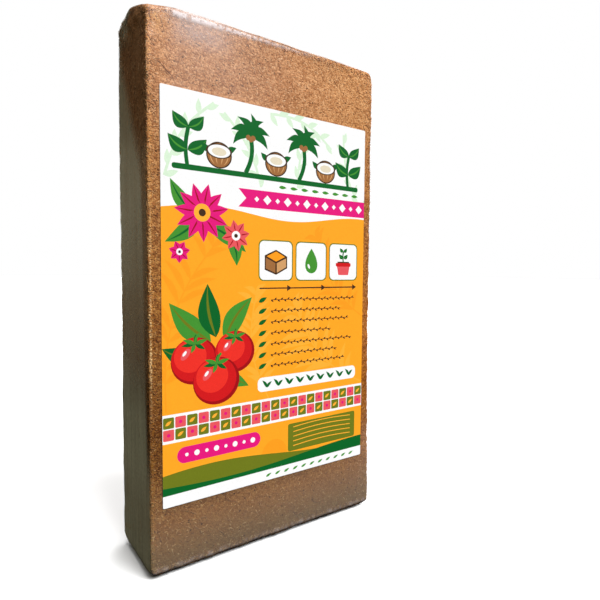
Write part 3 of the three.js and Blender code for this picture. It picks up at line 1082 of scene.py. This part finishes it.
def draw_tiles(sheet):
    """Three white tiles: a pressed block, a drop of water, and a plant in a pot."""
    size, gap, left, low = 23.0, 3.4, 59.0, 122.0
    for i, picture in enumerate((draw_block, draw_drop, draw_pot)):
        x = left + i * (size + gap)
        sheet.box("olive", x - 0.7, low - 0.7, x + size + 0.7, low + size + 0.7, 3.4)
        sheet.box("paper_white", x, low, x + size, low + size, 3.0)
        picture(sheet, x + size / 2, low + 5.0)
    line = low - 5.4
    sheet.box("bark", left, line, left + 3 * size + 2 * gap - 3, line + 0.8, 0.35)
    for i in (1, 2, 3):
        tip = left + i * (size + gap) - gap
        sheet.ink("bark", [(tip - 3.4, line - 1.5), (tip, line + 0.4), (tip - 3.4, line + 2.3)])


def draw_block(sheet, x, y):
    """A brown block seen from one corner."""
    for ink, outline in (
        ("bark", [(-8, 1), (0, -2), (8, 2), (8, 9), (0, 13), (-8, 9.5)]),
        ("husk_brown", [(-7.2, 1.8), (-0.5, -0.8), (-0.5, 5.0), (-7.2, 8.2)]),
        ("husk_tan", [(0.5, -0.8), (7.2, 2.6), (7.2, 8.0), (0.5, 5.0)]),
        ("deep_amber", [(0, 5.9), (6.4, 8.8), (0, 12.0), (-6.6, 9.0)]),
    ):
        sheet.ink(ink, np.add(outline, (x, y)))


def draw_drop(sheet, x, y):
    """A drop with a round foot and a pointed head."""
    angles = np.linspace(0, 2 * math.pi, 26, endpoint=False)
    rise = (1 - np.cos(angles)) / 2
    wide = 6.2 * np.sin(angles) * np.sqrt(1 - rise * 0.98)
    sheet.ink("leaf_green", np.stack([x + wide, y - 1 + 15.5 * rise], axis=1))
    sheet.ink("paper_white", ring((x - 2.0, y + 3.4), 0.8, 12, 2.0, 2.0))


def draw_pot(sheet, x, y):
    """A sprout in a red pot."""
    sheet.ink("coral", np.add([(-4.2, -2), (4.2, -2), (5.6, 4.4), (-5.6, 4.4)], (x, y)))
    sheet.box("red", x - 6.4, y + 3.6, x + 6.4, y + 6.0, 0.8)
    sheet.box("bark", x - 5.0, y + 6.0, x + 5.0, y + 6.8, 0.3)
    sheet.seedling((x, y + 6.4), 9.0)


def draw_rows(sheet):
    """Rows of small dark vines, each after a green leaf."""
    left, right = 60.0, LABEL_WIDTH - 7.0
    for i, share in enumerate((1.0, 0.82, 0.93, 0.70, 0.97, 0.78, 0.88)):
        y = 110.0 - 6.6 * i
        sheet.ink("dark_green", leaf((left - 1.5, y - 1.2), (left + 4.2, y + 1.6), 2.6))
        sheet.vine((left + 7, y), (left + 7 + share * (right - left - 8), y), "bark", 2.3, 1.5)


def draw_strip(sheet):
    """A white strip with a row of dark leaves in pairs."""
    left, right, low = 58.0, LABEL_WIDTH - 6.0, 55.0
    sheet.box("paper_white", left, low, right, low + 8.6, 3.0)
    for i in range(9):
        x = left + 6.5 + 8.1 * i
        for side in (-1, 1):
            tip = (x + 3.4 * side, low + 6.3 - 0.6 * side)
            sheet.ink("dark_green", leaf((x, low + 2.2), tip, 1.9, 0.5 * side, 8))


def draw_weave(sheet):
    """A band of olive and coral checks, each with a small mark, between pale lines."""
    low, size, count = 36.0, 6.6, 21
    sheet.box("paper_white", 0, low - 1.2, LABEL_WIDTH, low + 2 * size + 1.2, 0.2)
    for row in range(2):
        for column in range(count):
            x, y = (column + 0.5) * LABEL_WIDTH / count, low + (row + 0.5) * size
            odd = (row + column) % 2
            wide, high = LABEL_WIDTH / count / 2 - 0.3, size / 2 - 0.3
            sheet.box("olive" if odd else "coral", x - wide, y - high, x + wide, y + high, 0.7)
            mark = leaf((x - 1.7, y - 1.2), (x + 1.7, y + 1.2), 1.7) if odd else ring((x, y), 1.0, 10)
            sheet.ink("pale_amber" if odd else "magenta", mark)


def draw_hills(sheet):
    """Low hills and a sun under a magenta bar with dots and an olive field with furrows."""
    foot = [(LABEL_WIDTH, FOOTER), (0, FOOTER)]
    sheet.ink("deep_amber", ring((70, FOOTER + 9), 9, 30))
    sheet.ink("olive", np.concatenate([waved(FOOTER + 9, 3.6, 5.0, 0.6), foot]))
    sheet.ink("dark_green", np.concatenate([waved(FOOTER + 5, 2.6, 4.4, 3.4), foot]))
    sheet.box("magenta", 8, 22.5, 60, 31.5, 4.4)
    for i in range(8):
        sheet.ink("paper_white", ring((13.5 + 5.9 * i, 27.0), 1.6 if i % 2 else 1.0, 16))
    sheet.box("olive", 80, 14.5, LABEL_WIDTH - 6, 32.0, 1.4)
    for i in range(5):
        y = 17.6 + 3.0 * i
        sheet.ink("pale_amber", stroke(arc((84, y), (LABEL_WIDTH - 10, y), 1.1), 0.55))
    for i in range(11):
        sheet.ink("leaf_green", leaf((64 + 6.6 * i, 2.4), (68 + 6.6 * i, 4.0), 1.5, 0, 7))


def draw_label():
    sheet = Print()
    sheet.ink("amber", rounded(0, 0, LABEL_WIDTH, LABEL_HEIGHT, 0.8, 4))
    sheet.frond((140, 52), (84, 108), 26, "pale_amber")
    sheet.frond((2, 52), (34, 146), 22, "deep_amber")
    sheet.frond((142, 96), (100, 152), 22, "deep_amber")
    sheet.frond((66, 50), (58, 118), 20, "pale_amber")
    for draw in (draw_header, draw_ribbon, draw_flowers, draw_fruit, draw_tiles, draw_rows,
                 draw_strip, draw_weave):
        draw(sheet)
    sheet.ink("paper_white", [(0, 0), (LABEL_WIDTH, 0), (LABEL_WIDTH, FOOTER), (0, FOOTER)])
    draw_hills(sheet)
    return sheet


def ink_material(name, colour):
    shade = Shade("ink_" + name)
    place = shade.place()
    press = shade.noise(place, 0.5, 2, 0.6)
    dark = tuple(0.93 * part for part in colour)
    tint = shade.mix(press.step(0.35, 0.65), dark, colour)
    ripple = shade.noise(place, 16, 1, 0.5)
    return shade.surface({"Base Color": tint, "Roughness": 0.55, "Specular IOR Level": 0.08,
                          "Normal": shade.bump(ripple, 0.25, 0.5)})


def printed_label():
    """The label as a thin closed slab whose front is parted along the edges of the inks."""
    sheet = draw_label()
    points, loops = [], []
    for _, outline in sheet.shapes:
        loops.append(list(range(len(points), len(points) + len(outline))))
        points += [Vector(point) for point in outline]
    flat, _, faces, _, _, owners = delaunay_2d_cdt(points, [], loops, 1, 1e-4)
    names = list(INKS)
    kept = [i for i, owner in enumerate(owners) if 0 in owner]
    inks = np.array([names.index(sheet.shapes[max(owners[i])][0]) for i in kept])
    faces = np.array([faces[i] for i in kept])
    flat = np.array([tuple(point) for point in flat])
    a, b, c = (flat[faces[:, i]] for i in range(3))
    turned = np.cross(b - a, c - a) < 0
    faces[turned] = faces[turned][:, ::-1]
    used, index = np.unique(faces, return_inverse=True)
    return sheet_slab(flat[used], index.reshape(faces.shape), inks)


def sheet_slab(flat, faces, inks):
    """Gives the flat print its back and its edges."""
    count = len(flat)
    edges = np.concatenate([faces[:, [0, 1]], faces[:, [1, 2]], faces[:, [2, 0]]])
    keys = edges[:, 0] * count + edges[:, 1]
    rim = edges[~np.isin(keys, edges[:, 1] * count + edges[:, 0])]
    a, b = rim.T
    walls = np.concatenate([np.stack([b, a, a + count], 1), np.stack([b, a + count, b + count], 1)])
    all_faces = np.concatenate([faces, faces[:, ::-1] + count, walls])
    all_inks = np.concatenate([inks, np.zeros(len(faces) + len(walls), int)])
    behind = (PLACE[1] - DEPTH / 2 - PRINT_GAP) * MM
    back = np.stack([label_low.x + flat[:, 0] * MM, 0 * flat[:, 0] + behind,
                     label_low.z + flat[:, 1] * MM], axis=1)
    front = back - [0, PRINT_THICKNESS * MM, 0]
    materials = [ink_material(name, colour) for name, colour in INKS.items()]
    points = np.concatenate([front, back])
    return make_piece("label_print", points, all_faces, materials, "label", all_inks, False)


# Floor, light and camera

def floor():
    shade = Shade("studio_floor")
    mottle = shade.noise(shade.place(), 400, 1, 0.5)
    colour = shade.mix(mottle, (0.86, 0.86, 0.86), (0.88, 0.88, 0.88))
    reach = 12.0
    mesh = bpy.data.meshes.new("studio_floor")
    corners = [(-reach, -reach, 0), (reach, -reach, 0), (reach, reach, 0), (-reach, reach, 0)]
    mesh.from_pydata(corners, [], [(0, 1, 2, 3)])
    mesh.materials.append(shade.surface({"Base Color": colour, "Roughness": 0.9}))
    ground = bpy.data.objects.new("studio_floor", mesh)
    bpy.context.scene.collection.objects.link(ground)
    ground.visible_diffuse = False
    ground.visible_glossy = False


def sky_light(name, towards, spread, strength, colour=(1, 1, 1)):
    """A broad even light from far away. towards is where it comes from, seen from the bale."""
    light = bpy.data.lights.new(name, "SUN")
    light.energy, light.color = strength, colour
    light.angle = math.radians(spread)
    lamp = bpy.data.objects.new(name, light)
    lamp.rotation_euler = Vector(towards).to_track_quat("Z", "Y").to_euler()
    bpy.context.scene.collection.objects.link(lamp)


def studio():
    sky_light("key_light", (0.24, -0.58, 0.78), 40, 5.7)
    sky_light("top_light", (0.0, 0.10, 1.0), 60, 1.5)
    sky_light("left_fill", (-1.0, -0.2, 0.3), 60, 0.4, (1.0, 0.93, 0.72))
    sky_light("right_fill", (1.0, 0.15, 0.35), 80, 1.6)
    sky_light("back_light", (0.9, 0.8, 0.5), 50, 2.6)
    sky_light("side_sheen", (-0.29, 0.95, 0.02), 26, 0.035, (1.0, 0.95, 0.80))
    world = bpy.data.worlds.new("studio")
    bpy.context.scene.world = world
    world.use_nodes = True
    world.node_tree.nodes["Background"].inputs["Color"].default_value = (1, 1, 1, 1)
    world.cycles_visibility.diffuse = False
    world.cycles_visibility.glossy = False
    bpy.context.scene.view_settings.view_transform = "Standard"


# The camera stands left of the front, a little higher than the bale's middle.
CAMERA_PLACE = (-158.4, -273.1, 165.4)
CAMERA_YAW, CAMERA_PITCH, CAMERA_ROLL = 35.415, 3.316, 0.476
CAMERA_LENS = 29.30


def camera():
    lens = bpy.data.cameras.new("camera")
    lens.lens = CAMERA_LENS
    lens.sensor_width = 36
    lens.clip_start, lens.clip_end = 0.01, 50
    viewer = bpy.data.objects.new("camera", lens)
    bpy.context.scene.collection.objects.link(viewer)
    turn = Matrix.Rotation(math.radians(-CAMERA_YAW), 3, "Z")
    tilt = Matrix.Rotation(math.radians(90 - CAMERA_PITCH), 3, "X")
    roll = Matrix.Rotation(math.radians(CAMERA_ROLL), 3, "Z")
    viewer.rotation_euler = (turn @ tilt @ roll).to_euler()
    viewer.location = in_frame(CAMERA_PLACE)
    bpy.context.scene.camera = viewer


pressed_coir = coir_material()
gold, rust, dark = (husk_material(name) for name in HUSK_TONES)
coir_block(pressed_coir)
coir_grains([pressed_coir, gold, rust, dark])
coir_flecks([pressed_coir, gold, rust, dark])
coir_fibres([gold, rust])
shrink_film(film_material())
printed_label()
floor()
studio()
camera()
